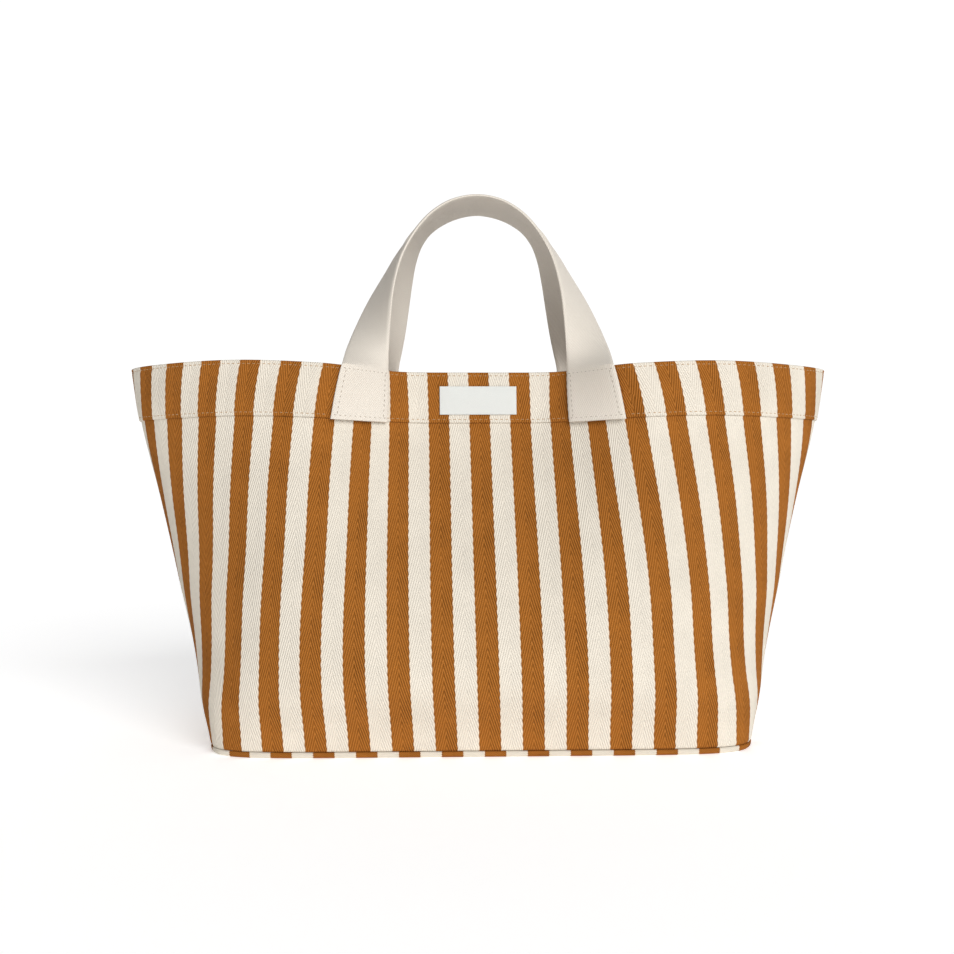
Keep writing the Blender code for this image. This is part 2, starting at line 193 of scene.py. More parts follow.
class ClothSettings(bpy.types.PropertyGroup):
    """Weave and colours of the striped canvas."""

    stripe: FloatProperty(name="Stripe", description="Width of one stripe", default=0.0140, unit="LENGTH")
    shift: FloatProperty(
        name="Shift", description="From the middle to the nearest brown stripe", default=0.0060, unit="LENGTH"
    )
    lean: FloatProperty(name="Lean", description="Sideways drift for each metre of height", default=0.0224)
    base_stripe: FloatProperty(
        name="Base stripe", description="Width of one stripe of the base", default=0.0138, unit="LENGTH"
    )
    base_shift: FloatProperty(
        name="Base shift", description="From the middle to the base's brown stripe",
        default=0.0092, unit="LENGTH",
    )
    rib: FloatProperty(name="Rib", description="Height from rib to rib", default=0.0054, unit="LENGTH")
    slope: FloatProperty(name="Slope", description="Rise of a rib for each metre across", default=3.5)
    brown: FloatVectorProperty(
        name="Brown", description="Colour of the dark stripes",
        default=(0.345, 0.118, 0.0165), subtype="COLOR",
    )
    # Painted highlight: the crests of the dark stripes' ribs are painted in this lighter, more orange brown.
    ridge_highlight_brown: FloatVectorProperty(
        name="Worn brown", description="Rubbed ribs of the dark stripes",
        default=(0.600, 0.245, 0.060), subtype="COLOR",
    )
    cream: FloatVectorProperty(
        name="Cream", description="Colour of the light stripes",
        default=(0.805, 0.740, 0.635), subtype="COLOR",
    )
    relief: FloatProperty(name="Relief", description="Height of the ribs", default=0.00035, unit="LENGTH")


class StrapSettings(bpy.types.PropertyGroup):
    """Twill of the handles and of the inner tapes."""

    twill: FloatVectorProperty(
        name="Twill", description="Colour of the straps", default=(0.760, 0.700, 0.615), subtype="COLOR"
    )
    tape: FloatVectorProperty(
        name="Tape", description="Colour of the inner seam tape",
        default=(0.640, 0.580, 0.480), subtype="COLOR",
    )
    rib: FloatProperty(
        name="Rib", description="Spacing of the twill's lines", default=0.0013, unit="LENGTH"
    )
    relief: FloatProperty(name="Relief", description="Height of the lines", default=0.00016, unit="LENGTH")


class LabelSettings(bpy.types.PropertyGroup):
    """Plain woven label."""

    colour: FloatVectorProperty(
        name="Colour", description="Colour of the label", default=(0.720, 0.730, 0.700), subtype="COLOR"
    )
    puff: FloatProperty(
        name="Puff", description="How far its middle stands up", default=0.0005, unit="LENGTH"
    )


class StitchSettings(bpy.types.PropertyGroup):
    """Sewing thread."""

    pitch: FloatProperty(name="Pitch", description="From stitch to stitch", default=0.0036, unit="LENGTH")
    length: FloatProperty(name="Length", description="Length of a stitch", default=0.0022, unit="LENGTH")
    foot_length: FloatProperty(
        name="Foot length", description="Visible length of a stitch on the handles",
        default=0.0017, unit="LENGTH",
    )
    radius: FloatProperty(
        name="Radius", description="Half the thread's thickness", default=0.00020, unit="LENGTH"
    )
    thread: FloatVectorProperty(
        name="Thread", description="Colour of the band's thread",
        default=(0.500, 0.310, 0.155), subtype="COLOR",
    )
    # The handles' thread colour, painted dark grey so that the stitches also stand for the shade at their
    # needle holes.
    shaded_foot_thread: FloatVectorProperty(
        name="Pale thread", description="Colour of the handles' thread",
        default=(0.330, 0.275, 0.215), subtype="COLOR",
    )


class StageSettings(bpy.types.PropertyGroup):
    """Camera, floor and lights."""

    distance: FloatProperty(
        name="Distance", description="Camera to the bag's middle", default=0.9116, unit="LENGTH"
    )
    height: FloatProperty(
        name="Height", description="Camera above the floor", default=0.1803, unit="LENGTH"
    )
    aside: FloatProperty(
        name="Aside", description="Camera to the right of the middle", default=-0.0012, unit="LENGTH"
    )
    lens: FloatProperty(name="Lens", description="Focal length in millimetres", default=47.55)
    roll: FloatProperty(
        name="Roll", description="Camera turned clockwise", default=math.radians(0.5), unit="ROTATION"
    )
    key: FloatProperty(name="Key", description="Strength of the broad main light", default=2.35)
    room: FloatProperty(name="Room", description="Brightness of the room in front of the bag", default=0.36)
    left_room: FloatProperty(
        name="Left", description="Brightness of the room in front on the left", default=0.20
    )
    backdrop: FloatProperty(name="Backdrop", description="Brightness of the room behind it", default=1.05)
    floor_glow: FloatProperty(
        name="Floor glow", description="Light that comes up through the floor", default=0.42
    )


def smoothstep(start, end, value):
    share = min(max((value - start) / (end - start), 0.0), 1.0)
    return share * share * (3.0 - 2.0 * share)


def spaced(start, end, steps):
    return [start + (end - start) * step / steps for step in range(steps + 1)]


def spaced_by(start, end, step):
    return spaced(start, end, max(1, math.ceil(abs(end - start) / step)))


def mixed(low, high, share):
    return low + (high - low) * share


# Shape of the body


def through_rows(rows, position, row_of=None):
    """Smooth values at a position along rows; row_of gives the column that holds each row's own position."""
    keys = [row[row_of] for row in rows] if row_of is not None else list(range(len(rows)))
    last = len(rows) - 1
    index = 0
    while index < last - 1 and position > keys[index + 1]:
        index += 1
    width = keys[index + 1] - keys[index]
    share = (position - keys[index]) / width
    values = []
    for column in range(len(rows[0])):
        slopes = []
        for at in (index, index + 1):
            low, high = max(at - 1, 0), min(at + 1, last)
            slopes.append((rows[high][column] - rows[low][column]) / (keys[high] - keys[low]) * width)
        start, end = rows[index][column], rows[index + 1][column]
        cube, square = share**3, share**2
        values.append(
            (2 * cube - 3 * square + 1) * start
            + (cube - 2 * square + share) * slopes[0]
            + (3 * square - 2 * cube) * end
            + (cube - square) * slopes[1]
        )
    return values


def outline_points(height):
    """Points from the middle of the front to the right side at one height, as (x, depth)."""
    share = min(max(height / BODY_HEIGHT, 0.0), 1.0)
    _, widen, belly, mouth, square, pinch, spread = through_rows(SECTIONS, share, row_of=0)
    half_width = (BASE_WIDTH + (MOUTH_WIDTH - BASE_WIDTH) * widen) / 2
    half_depth = (BASE_DEPTH * (1 - belly - mouth) + BELLY_DEPTH * belly + MOUTH_DEPTH * mouth) / 2
    ramp = (STRAP_WIDTH + PINCH_MARGIN + PINCH_SPREAD * spread) / 2
    points = []
    for step in range(OUTLINE_STEPS + 1):
        angle = math.pi / 2 * step / OUTLINE_STEPS
        x = half_width * math.sin(angle) ** (2 / square)
        depth = half_depth * max(math.cos(angle), 0.0) ** (2 / square)
        pull = 1 - smoothstep(FOOT_CENTRE - ramp, FOOT_CENTRE + ramp, x)
        points.append((x, depth * (1 - MOUTH_PINCH * pinch * pull / half_depth)))
    return points


def even_points(points, steps):
    """The same outline as evenly spaced points, with the spacing."""
    lengths = [0.0]
    for before, after in zip(points, points[1:]):
        lengths.append(lengths[-1] + math.hypot(after[0] - before[0], after[1] - before[1]))
    spacing = lengths[-1] / steps
    even = []
    index = 1
    for step in range(steps + 1):
        while index < len(points) - 1 and lengths[index] < step * spacing:
            index += 1
        before, after = points[index - 1], points[index]
        share = (step * spacing - lengths[index - 1]) / (lengths[index] - lengths[index - 1])
        even.append(tuple(mixed(low, high, share) for low, high in zip(before, after)))
    return even, spacing


def outward(points, index):
    """Outward direction at one of the evenly spaced points; it is square to the bag's axes at both ends."""
    if index == 0:
        return 0.0, 1.0
    if index == len(points) - 1:
        return 1.0, 0.0
    before, after = points[index - 1], points[index + 1]
    run = math.hypot(after[0] - before[0], after[1] - before[1])
    return (before[1] - after[1]) / run, (after[0] - before[0]) / run


QUARTERS = {}


def quarter(height):
    """Evenly spaced points of a quarter section, their outward directions and their spacing."""
    key = round(height, 6)
    if key not in QUARTERS:
        points, spacing = even_points(outline_points(height), SECTION_STEPS)
        QUARTERS[key] = (points, [outward(points, index) for index in range(len(points))], spacing)
    return QUARTERS[key]


def side_length(height):
    """Length of the section from the middle of the front to the side."""
    points, _, spacing = quarter(height)
    return spacing * (len(points) - 1)


def length_at(x, height):
    """Length along the section from the middle to a given x."""
    points, _, spacing = quarter(height)
    index = 1
    while index < len(points) - 1 and points[index][0] < x:
        index += 1
    before, after = points[index - 1], points[index]
    return spacing * (index - 1 + (x - before[0]) / (after[0] - before[0]))


def rim_drop(x, height):
    """How far the cloth hangs lower than its nominal height, strongest at the rim."""
    middle = RIM_DIP * (1 - smoothstep(DIP_START, DIP_END, abs(x)))
    end = END_DIP * smoothstep(DIP_END, MOUTH_WIDTH / 2, abs(x))
    return (middle + end) * (height / BODY_HEIGHT) ** 2


def unevenness(length, height, side):
    """How far soft cloth stands out from the ideal shape; nothing at the side seams and at the base."""
    from_side = side_length(height) - abs(length)
    held = smoothstep(0.0, 0.05, from_side) * smoothstep(0.0, 0.04, height)
    place = Vector((length / RIPPLE_SIZE, height / (1.6 * RIPPLE_SIZE), 3.7 * side))
    return RIPPLE * held * noise.noise(place)


def cloth_point(length, height, offset, side):
    """A point on the body: length from the middle (minus is left), outward offset, FRONT or BACK."""
    points, directions, spacing = quarter(height)
    reach = min(abs(length) / spacing, len(points) - 1)
    index = min(int(reach), len(points) - 2)
    share = reach - index
    following = index + 1
    x, depth = (mixed(low, high, share) for low, high in zip(points[index], points[following]))
    out_x, out_depth = (mixed(low, high, share) for low, high in zip(directions[index], directions[following]))
    tilt = RIM_TILT * math.copysign(x, length) * (height / BODY_HEIGHT) ** 2
    lowered = height - rim_drop(x, height) - tilt
    offset += unevenness(length, height, side)
    x += out_x * offset
    depth += out_depth * offset
    return Vector((math.copysign(x, length), side * (depth + SEWN_GAP / 2), lowered))


def weave_spot(length, height):
    """The place on the weave that lies at a place on the body: above the base the stripes crowd inwards."""
    start, full = (0.06, 0.15) if length < 0 else (0.09, 0.22)
    share = smoothstep(start, full, height) * smoothstep(0.05, 0.11, abs(length))
    return length + math.copysign(STRIPE_DRIFT * share, length), height


def tucked(offset, from_side):
    """The offset, turned in towards the side seam over its last millimetres."""
    share = max(0.0, 1 - from_side / SEAM_TUCK_REACH)
    return offset - SEAM_TUCK * share**2


def column_lengths(height):
    """Lengths of the cloth's columns at one height, closer together at the side seams."""
    reach = side_length(height)
    inner = side_length(BODY_HEIGHT)
    even = math.ceil((inner - END_COLUMNS[0]) / CLOTH_STEP)
    right = spaced(0.0, reach - END_COLUMNS[0], even) + [reach - short for short in END_COLUMNS[1:]]
    return [-length for length in right[:0:-1]] + right


# Meshes


def finished(name, points, faces, spots, material):
    """An object from points and faces; spots gives each point's place on the weave, in metres."""
    mesh = bpy.data.meshes.new(name)
    mesh.from_pydata([tuple(point) for point in points], [], faces)
    weave = mesh.uv_layers.new(name="Weave")
    for loop in mesh.loops:
        weave.data[loop.index].uv = spots[loop.vertex_index]
    builder = bmesh.new()
    builder.from_mesh(mesh)
    bmesh.ops.recalc_face_normals(builder, faces=builder.faces)
    builder.to_mesh(mesh)
    builder.free()
    mesh.shade_smooth()
    mesh.set_sharp_from_angle(angle=math.radians(50))
    mesh.materials.append(material)
    made = bpy.data.objects.new(name, mesh)
    bpy.context.scene.collection.objects.link(made)
    return made


def shell(name, outer, inner, spots, material):
    """A closed sheet of cloth between two equal grids of points."""
    rows, columns = len(outer), len(outer[0])
    count = rows * columns

    def at(row, column):
        return row * columns + column

    faces = []
    for row in range(rows - 1):
        for column in range(columns - 1):
            face = (at(row, column), at(row, column + 1), at(row + 1, column + 1), at(row + 1, column))
            faces.append(face)
            faces.append(tuple(count + corner for corner in reversed(face)))
    border = [at(0, column) for column in range(columns)]
    border += [at(row, columns - 1) for row in range(1, rows)]
    border += [at(rows - 1, column) for column in range(columns - 2, -1, -1)]
    border += [at(row, 0) for row in range(rows - 2, 0, -1)]
    for near, far in zip(border, border[1:] + border[:1]):
        faces.append((near, count + near, count + far, far))
    points = [point for grid in (outer, inner) for row in grid for point in row]
    flat_spots = [spot for row in spots for spot in row]
    return finished(name, points, faces, flat_spots * 2, material)


def ringed(name, rings, spots, material, closed=False):
    """A solid skinned over equal rings of points, capped at its ends unless it closes on itself."""
    size = len(rings[0])
    faces = []
    pairs = [(index, index + 1) for index in range(len(rings) - 1)]
    if closed:
        pairs.append((len(rings) - 1, 0))
    for first, second in pairs:
        near, far = first * size, second * size
        for corner in range(size):
            following = (corner + 1) % size
            faces.append((near + corner, near + following, far + following, far + corner))
    if not closed:
        faces.append(tuple(range(size)))
        faces.append(tuple((len(rings) - 1) * size + corner for corner in range(size)))
    points = [point for ring in rings for point in ring]
    return finished(name, points, faces, [spot for row in spots for spot in row], material)


# Materials


class Recipe:
    """A material under construction; its calls take numbers or sockets and return sockets."""

    def __init__(self, name, roughness):
        self.material = bpy.data.materials.new(name)
        self.material.use_nodes = True
        self.nodes = self.material.node_tree.nodes
        self.links = self.material.node_tree.links
        self.shader = self.nodes["Principled BSDF"]
        self.shader.inputs["Roughness"].default_value = roughness
        self.shader.inputs["Metallic"].default_value = 0.0
        self.shader.inputs["Specular IOR Level"].default_value = 0.08

    def put(self, socket, value):
        if isinstance(value, bpy.types.NodeSocket):
            self.links.new(value, socket)
        else:
            socket.default_value = value

    def math(self, operation, *values):
        node = self.nodes.new("ShaderNodeMath")
        node.operation = operation
        for socket, value in zip(node.inputs, values):
            self.put(socket, value)
        return node.outputs["Value"]

    def times(self, first, second):
        return self.math("MULTIPLY", first, second)

    def scaled(self, value, factor, addend):
        """The value times the factor, plus the addend."""
        return self.math("MULTIPLY_ADD", value, factor, addend)

    def wave(self, turns):
        """From 0 to 1 and back once for every whole turn."""
        swing = self.math("SINE", self.times(turns, 2 * math.pi))
        return self.scaled(swing, 0.5, 0.5)

    def spot(self):
        """The place on the weave, as two sockets."""
        uv = self.nodes.new("ShaderNodeUVMap")
        uv.uv_map = "Weave"
        parts = self.nodes.new("ShaderNodeSeparateXYZ")
        self.links.new(uv.outputs["UV"], parts.inputs["Vector"])
        return parts.outputs["X"], parts.outputs["Y"]

    def vector(self, x, y, z=0.0):
        node = self.nodes.new("ShaderNodeCombineXYZ")
        for socket, value in zip(node.inputs, (x, y, z)):
            self.put(socket, value)
        return node.outputs["Vector"]

    def noise(self, vector, scale, detail=2.0):
        node = self.nodes.new("ShaderNodeTexNoise")
        node.inputs["Scale"].default_value = scale
        node.inputs["Detail"].default_value = detail
        self.links.new(vector, node.inputs["Vector"])
        return node.outputs["Fac"]

    def blend(self, share, first, second, kind="MIX"):
        node = self.nodes.new("ShaderNodeMix")
        node.data_type = "RGBA"
        node.blend_type = kind
        self.put(node.inputs["Factor"], share)
        self.put(node.inputs["A"], first)
        self.put(node.inputs["B"], second)
        return node.outputs["Result"]

    def bump(self, height, distance):
        node = self.nodes.new("ShaderNodeBump")
        node.inputs["Strength"].default_value = 1.0
        node.inputs["Distance"].default_value = distance
        self.links.new(height, node.inputs["Height"])
        self.links.new(node.outputs["Normal"], self.shader.inputs["Normal"])

    def sheen(self, weight):
        self.shader.inputs["Sheen Weight"].default_value = weight
        self.shader.inputs["Sheen Roughness"].default_value = 0.6


def shade(colour, share):
    return (*(channel * share for channel in colour), 1.0)


def herringbone(name, settings, stripe, shift, lean, chevron):
    """Striped canvas: each stripe is one chevron wide; chevron is 1 for points up and -1 for points down."""
    recipe = Recipe(name, 0.92)
    across, along = recipe.spot()
    straight = recipe.scaled(along, lean, recipe.math("SUBTRACT", across, shift))
    slope = chevron * settings.slope / settings.rib
    edge_turns = recipe.scaled(along, 1 / settings.rib, settings.slope * stripe / 2 / settings.rib)
    nibble = recipe.scaled(recipe.wave(edge_turns), 0.024, 0.488)
    count = recipe.scaled(straight, 1 / stripe, nibble)
    plain_count = recipe.scaled(straight, 1 / stripe, 0.5)
    in_stripe = recipe.math("ABSOLUTE", recipe.math("SUBTRACT", recipe.math("FRACT", plain_count), 0.5))
    turns = recipe.scaled(in_stripe, slope * stripe, recipe.times(along, 1 / settings.rib))
    rib = recipe.wave(turns)
    even = recipe.math("MODULO", recipe.math("FLOOR", recipe.math("ADD", count, 1000.0)), 2.0)
    weave_place = recipe.vector(across, along)
    fibres = recipe.noise(recipe.vector(recipe.times(across, 2.6), along), 520.0, 3.0)
    faded = recipe.noise(weave_place, 28.0, 3.0)
    slub = recipe.noise(recipe.vector(recipe.times(turns, 0.010), in_stripe), 60.0, 1.0)
    patchy = recipe.scaled(recipe.noise(weave_place, 55.0, 2.0), 1.5, -0.15)
    arm = recipe.math("FRACT", recipe.scaled(straight, 1 / stripe, 1.0))
    one_arm = recipe.math("GREATER_THAN", arm, 0.5)
    strength = recipe.times(patchy, recipe.scaled(one_arm, -0.45, 1.0))
    # Painted shade: the grooves between the ribs are painted darker, deep brown on the dark stripes and grey
    # on the light ones.
    groove_shade = recipe.times(recipe.math("POWER", recipe.math("SUBTRACT", 1.0, rib), 1.5), strength)
    # Painted highlight on the crests of the ribs in the dark stripes.
    ridge_highlight = recipe.times(recipe.math("POWER", rib, 3.0), recipe.scaled(slub, 1.1, 0.1))
    dark = recipe.blend(fibres, shade(settings.brown, 0.72), shade(settings.brown, 1.40))
    dark = recipe.blend(recipe.times(ridge_highlight, 0.60), dark, settings.ridge_highlight_brown[:] + (1.0,))
    dark = recipe.blend(recipe.times(groove_shade, 0.95), dark, shade(settings.brown, 0.34))
    light = recipe.blend(fibres, shade(settings.cream, 0.94), shade(settings.cream, 1.10))
    light = recipe.blend(recipe.times(groove_shade, 0.40), light, GROOVE_SHADE_GREY)
    fringe = recipe.math("MAXIMUM", recipe.scaled(in_stripe, 18.0, -8.0), 0.0)
    dark = recipe.blend(recipe.times(fringe, 0.55), dark, shade(settings.brown, 0.42))
    light = recipe.blend(recipe.times(fringe, 0.60), light, FRINGE_TAN)
    base = recipe.blend(even, dark, light)
    worn = recipe.blend(recipe.times(faded, 0.30), base, FADED, "MULTIPLY")
    recipe.links.new(worn, recipe.shader.inputs["Base Color"])
    yarn = recipe.wave(recipe.scaled(across, 1 / YARN_WIDTH, recipe.times(along, 1 / YARN_LENGTH)))
    relief = recipe.scaled(yarn, 0.16, recipe.scaled(fibres, 0.35, rib))
    recipe.bump(relief, settings.relief)
    return recipe.material


def twill(name, colour, rib, relief):
    """Plain twill with fine diagonal lines and faint uneven yarns."""
    recipe = Recipe(name, 0.90)
    across, along = recipe.spot()
    turns = recipe.scaled(along, 0.55 / rib, recipe.times(across, 0.83 / rib))
    rib_wave = recipe.wave(turns)
    place = recipe.vector(across, along)
    fibres = recipe.noise(recipe.vector(across, recipe.times(along, 3.0)), 480.0, 3.0)
    cloudy = recipe.noise(place, 40.0, 3.0)
    base = recipe.blend(fibres, shade(colour, 0.93), shade(colour, 1.05))
    # Painted shade: the twill's diagonal grooves are painted darker.
    groove_shade = recipe.times(recipe.math("SUBTRACT", 1.0, rib_wave), 0.26)
    groove_shaded = recipe.blend(groove_shade, base, shade(colour, 0.62))
    worn = recipe.blend(recipe.times(cloudy, 0.18), groove_shaded, shade(colour, 0.80))
    recipe.links.new(worn, recipe.shader.inputs["Base Color"])
    warp = recipe.wave(recipe.times(along, 1 / 0.0011))
    height = recipe.scaled(warp, 0.25, recipe.scaled(fibres, 0.8, rib_wave))
    recipe.bump(height, relief)
    recipe.sheen(0.15)
    return recipe.material


def satin(name, colour):
    """Smooth woven label cloth with very fine crossing yarns."""
    recipe = Recipe(name, 0.72)
    across, along = recipe.spot()
    place = recipe.vector(across, along)
    specks = recipe.noise(place, 1600.0, 2.0)
    patches = recipe.noise(place, 260.0, 2.0)
    base = recipe.blend(specks, shade(colour, 0.90), shade(colour, 1.06))
    recipe.links.new(
        recipe.blend(recipe.times(patches, 0.20), base, shade(colour, 0.85)),
        recipe.shader.inputs["Base Color"],
    )
    weft = recipe.wave(recipe.times(along, 1 / 0.00045))
    warp = recipe.wave(recipe.times(across, 1 / 0.00060))
    recipe.bump(recipe.scaled(weft, warp, specks), 0.00010)
    recipe.sheen(0.10)
    return recipe.material


def thread(name, colour):
    """Twisted sewing thread."""
    recipe = Recipe(name, 0.80)
    across, along = recipe.spot()
    twist = recipe.wave(
        recipe.scaled(across, 1 / 0.0006, recipe.times(along, 1 / 0.0007))
    )
    # Painted shade and highlight: the thread is painted darker in the dips of its twist and lighter on the
    # crests.
    colours = recipe.blend(twist, shade(colour, 0.72), shade(colour, 1.12))
    recipe.links.new(colours, recipe.shader.inputs["Base Color"])
    recipe.bump(twist, 0.00008)
    recipe.sheen(0.20)
    return recipe.material


# Pieces


def body_cloth(name, side, material):
    """The front or back cloth, from the base seam up into the band's fold, side seam to side seam."""
    top = BODY_HEIGHT - CLOTH - SEWN_GAP
    heights = [PANEL_BOTTOM, PANEL_BOTTOM + 0.0006, PANEL_BOTTOM + 0.0016]
    heights += spaced_by(PANEL_BOTTOM + 0.0030, top, CLOTH_STEP)
    grids = []
    for offset in (0.0, -CLOTH):
        grid = []
        spots = []
        for height in heights:
            sunk = SEAM_TUCK * max(0.0, 1 - (height - PANEL_BOTTOM) / SEAM_TUCK_REACH) ** 2
            reach = side_length(height)
            lengths = column_lengths(height)
            offsets = [tucked(offset, reach - abs(length)) - sunk for length in lengths]
            grid.append([cloth_point(length, height, out, side) for length, out in zip(lengths, offsets)])
            spots.append([weave_spot(length, height) for length in lengths])
        grids.append(grid)
    return shell(name, grids[0], grids[1], spots, material)


def row_sink(drop):
    """How far the stitched rows pull the band in at a distance below the rim."""
    sink = 0.0
    for row in (RIM_ROW, BAND_ROW):
        sink += ROW_SINK * math.exp(-(((drop - row) / ROW_SINK_REACH) ** 2))
    return sink


def band_profile():
    """The band's section as (offset, drop below the rim), closed, starting at its lower outer edge."""
    hem = 0.0009
    roll = 0.0011
    profile = [(BAND_OUTSIDE - 0.0007, BAND_HEIGHT), (BAND_OUTSIDE - 0.0002, BAND_HEIGHT - 0.4 * hem)]
    for drop in spaced_by(BAND_HEIGHT - hem, roll, BAND_STEP):
        profile.append((BAND_OUTSIDE - row_sink(drop), drop))
    middle = (BAND_OUTSIDE - BAND_INSIDE) / 2
    half = (BAND_OUTSIDE + BAND_INSIDE) / 2
    for angle in spaced(0.0, math.pi, FOLD_STEPS)[1:-1]:
        profile.append((middle + half * math.cos(angle), roll * (1 - math.sin(angle))))
    for drop in spaced_by(roll, BAND_RETURN, 2 * BAND_STEP):
        profile.append((-BAND_INSIDE + row_sink(drop), drop))
    profile.append((-CLOTH - SEWN_GAP, BAND_RETURN))
    profile.append((-CLOTH - SEWN_GAP, CLOTH))
    profile.append((SEWN_GAP, CLOTH))
    profile.append((SEWN_GAP, BAND_HEIGHT))
    return profile


def band_cloth(name, side, material):
    """Half of the band, folded over the mouth's edge."""
    profile = band_profile()
    rings = []
    spots = []
    grid = []
    for offset, drop in profile:
        height = BODY_HEIGHT - drop
        reach = side_length(height)
        lengths = column_lengths(height)
        grid.append([(length, height, tucked(offset, reach - abs(length))) for length in lengths])
    for ring in zip(*grid):
        rings.append([cloth_point(length, height, offset, side) for length, height, offset in ring])
        spots.append([weave_spot(length, height) for length, height, _ in ring])
    return ringed(name, rings, spots, material)


def around(height, offset):
    """Points right round the body at one height."""
    lengths = column_lengths(height)
    ring = [cloth_point(length, height, offset, FRONT) for length in lengths[:-1]]
    return ring + [cloth_point(-length, height, offset, BACK) for length in lengths[:-1]]


def drawn_in(ring, share):
    """The ring, drawn in towards the middle of the bag."""
    return [Vector((point.x * share, point.y * share, point.z)) for point in ring]


def base_cloth(name, material):
    """The base: flat, with its edge rolled up into a low lip under the seam."""
    outline = [
        (-LIP_RADIUS * (1 - math.sin(angle)), LIP_RADIUS * (1 - math.cos(angle)))
        for angle in spaced(0.0, math.pi / 2, 6)
    ]
    outline += [(0.0001, LIP_HEIGHT - 0.0006), (-0.0003, LIP_HEIGHT - 0.0001), (-0.0007, LIP_HEIGHT)]
    inside = [(-LIP_WALL, LIP_HEIGHT), (-LIP_WALL, LIP_WALL + 0.0012), (-LIP_WALL - 0.0012, LIP_WALL)]
    rings = []
    for offset, height in outline + inside:
        ring = around(LIP_HEIGHT, offset)
        rings.append([Vector((point.x, point.y, height)) for point in ring])
    bottom = [Vector((point.x, point.y, 0.0)) for point in around(LIP_HEIGHT, -LIP_RADIUS)]
    top = [Vector((point.x, point.y, LIP_WALL)) for point in around(LIP_HEIGHT, -LIP_WALL - 0.0012)]
    fractions = (0.97, 0.90, 0.78, 0.60, 0.40, 0.20)
    lower = [drawn_in(bottom, share) for share in fractions[::-1]]
    upper = [drawn_in(top, share) for share in fractions]
    loops = lower + rings + upper
    spots = [[(point.x, point.y + 4 * point.z) for point in ring] for ring in loops]
    return ringed(name, loops, spots, material)


def base_binding(name, material):
    """Bound seam allowance standing inside the bag, right round above the base."""
    near = -CLOTH - SEWN_GAP
    far = near - SEAM_THICKNESS
    middle = (near + far) / 2
    bottom = LIP_HEIGHT + LIP_WALL
    top = bottom + BINDING_HEIGHT
    outline = ((near, bottom), (near, top - 0.0004), (middle, top), (far, top - 0.0006),
               (far - 0.0001, (top + bottom) / 2), (far, bottom))
    walls = [around(height, offset) for offset, height in outline]
    rings = [list(ring) for ring in zip(*walls)]
    spots = []
    run = 0.0
    for index, ring in enumerate(rings):
        if index:
            run += (ring[0] - rings[index - 1][0]).length
        spots.append([(run, height) for _, height in outline])
    return ringed(name, rings, spots, material, closed=True)


def side_tape(name, direction, material):
    """Bound seam allowance lying flat on the inside of one side."""
    bottom = LIP_HEIGHT + LIP_WALL + BINDING_HEIGHT + SEWN_GAP
    top = BODY_HEIGHT - BAND_RETURN - SEWN_GAP
    near = -CLOTH - SEWN_GAP
    across = spaced(-SEAM_WIDTH / 2, SEAM_WIDTH / 2, 12)
    heights = spaced_by(bottom, top, CLOTH_STEP)
    grids = []
    for inward in (0.0, SEAM_THICKNESS):
        grid = []
        spots = []
        for height in heights:
            reach = side_length(height)
            row = []
            for place in across:
                rounding = 1 - 0.45 * smoothstep(0.7, 1.0, abs(place) / (SEAM_WIDTH / 2))
                side = FRONT if place < 0 else BACK
                offset = near - inward * rounding
                point = cloth_point(direction * (reach - abs(place)), height, offset, side)
                if place == 0:
                    point.y = 0.0
                row.append(point)
            grid.append(row)
            spots.append([(place, height) for place in across])
        grids.append(grid)
    return shell(name, grids[0], grids[1], spots, material)


def foot_length(across, height):
    """Where along the body a foot's cloth lies: across is measured from the foot's middle line."""
    below = (BODY_HEIGHT - height) / BAND_HEIGHT
    return length_at(FOOT_CENTRE + FOOT_FLARE * below, height) + across


def foot_point(across, height, offset, side, direction):
    """A point on a handle's foot; offset is measured from the strap's near face."""
    return cloth_point(direction * foot_length(across, height), height, STRAP_NEAR + offset, side)


def loop_edges(shares, position, side, direction, rise):
    """The strap's two edges at a position along the rows of shares."""
    values = through_rows(shares, position)
    meeting = side * HANDLE_GAP / 2
    goals = (meeting + side * STRAP_WIDTH, meeting)
    edges = []
    for edge, goal, (up, span, lean) in zip((-1, 1), goals, (values[:3], values[3:])):
        corner = foot_point(edge * STRAP_WIDTH / 2, BODY_HEIGHT, STRAP_THICKNESS / 2, side, direction)
        height = corner.z + (BODY_HEIGHT + rise - STRAP_THICKNESS / 2 - corner.z) * up
        edges.append(Vector((corner.x * span, mixed(corner.y, goal, lean), height)))
    return edges


def half_strap(side, direction, rise, shares):
    """Rows of points across the middle of the strap, from a foot's lower end to the loop's top."""
    across = spaced(-STRAP_WIDTH / 2, STRAP_WIDTH / 2, STRAP_COLUMNS)
    rows = []
    for height in spaced_by(BODY_HEIGHT - BAND_HEIGHT - FOOT_OVERHANG, BODY_HEIGHT, STRAP_STEP):
        rows.append([foot_point(place, height, STRAP_THICKNESS / 2, side, direction) for place in across])
    rim = rows[-1]
    bows = [point - rim[0].lerp(rim[-1], index / STRAP_COLUMNS) for index, point in enumerate(rim)]
    top = len(shares) - 2
    for position in spaced(0.0, top, 8 * top)[1:]:
        inner, outer = loop_edges(shares, position, side, direction, rise)
        kept = 1 - smoothstep(0.0, 1.2, position)
        rows.append([inner.lerp(outer, index / STRAP_COLUMNS) + bow * kept for index, bow in enumerate(bows)])
    return rows


def strap_rows(side, rise, shares):
    """Rows of a whole strap, foot to foot, and how far each lies along it."""
    rows = half_strap(side, LEFT, rise, shares) + half_strap(side, RIGHT, rise, shares)[-2::-1]
    middle = STRAP_COLUMNS // 2
    runs = [0.0]
    for before, after in zip(rows, rows[1:]):
        runs.append(runs[-1] + (after[middle] - before[middle]).length)
    return rows, runs


def half_thickness(edge):
    """Half the strap's thickness at a distance from its edge, where it is rounded."""
    return STRAP_THICKNESS / 2 * (0.62 + 0.38 * math.sqrt(min(1.0, edge / 0.0016)))


